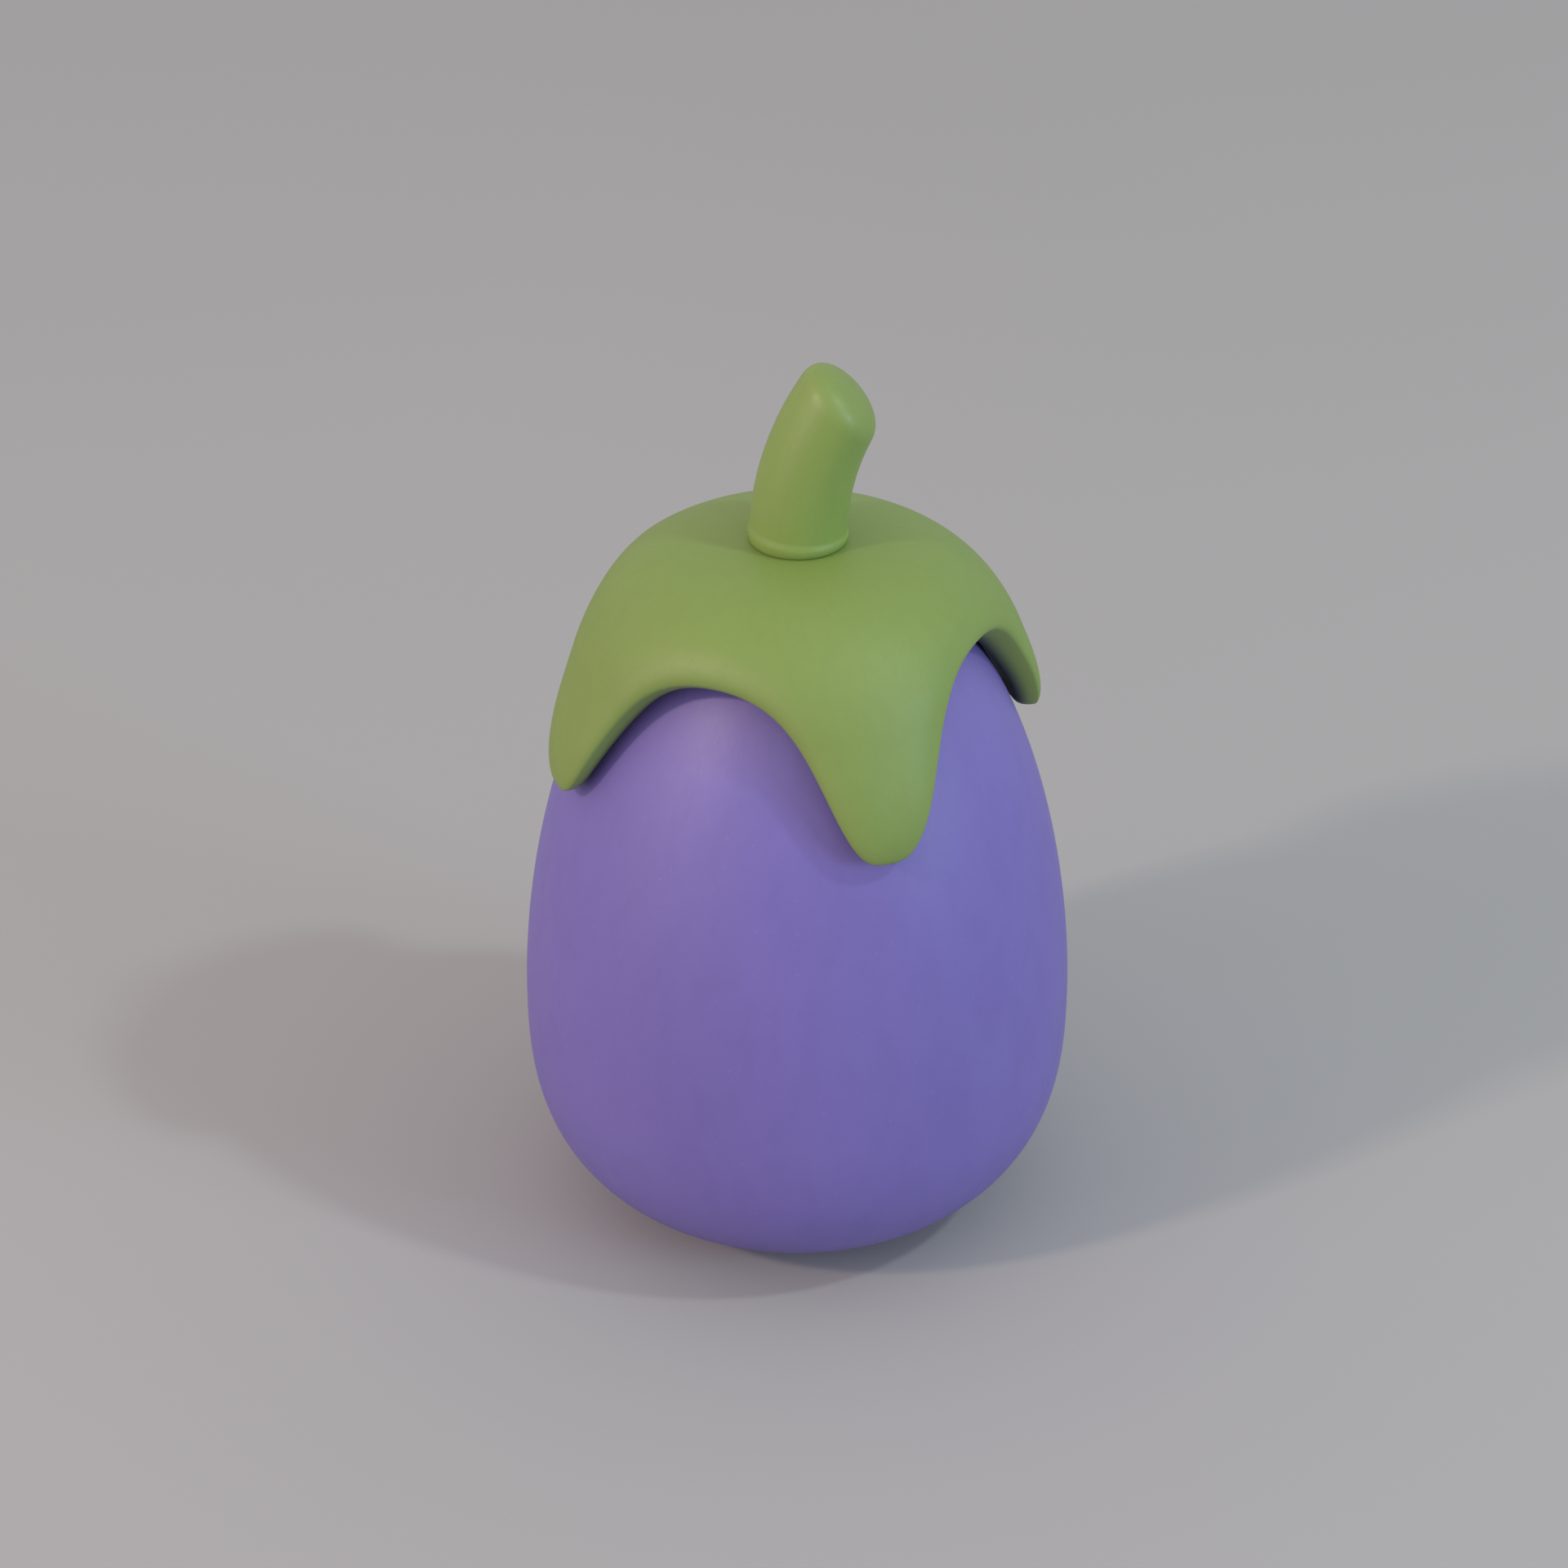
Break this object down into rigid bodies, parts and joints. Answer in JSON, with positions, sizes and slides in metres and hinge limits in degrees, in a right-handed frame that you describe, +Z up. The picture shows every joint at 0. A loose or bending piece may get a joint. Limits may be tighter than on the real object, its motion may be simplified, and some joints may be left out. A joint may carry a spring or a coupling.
{
  "type": "eggplant",
  "caption": "Fresh globe eggplant that stands on a small flat spot: a purple egg-shaped fruit, a thick green lobed calyx and a short bent stem.",
  "frame": {"origin": "centre of the flat spot under the fruit, on the surface that it rests on", "axes": "+Z up the fruit's axis towards the stem, +X to the side that the stem bends to, -Y to the front"},
  "size_m": [0.1, 0.1, 0.1675],
  "materials": {
    "fruit_skin": "smooth satin vegetable skin",
    "calyx_green": "soft satin leaf",
    "stem_green": "soft satin stalk"
  },
  "bodies": {
    "root": {"fruit": "fruit_skin", "calyx": "calyx_green", "stem": "stem_green"}
  },
  "joints": []
}
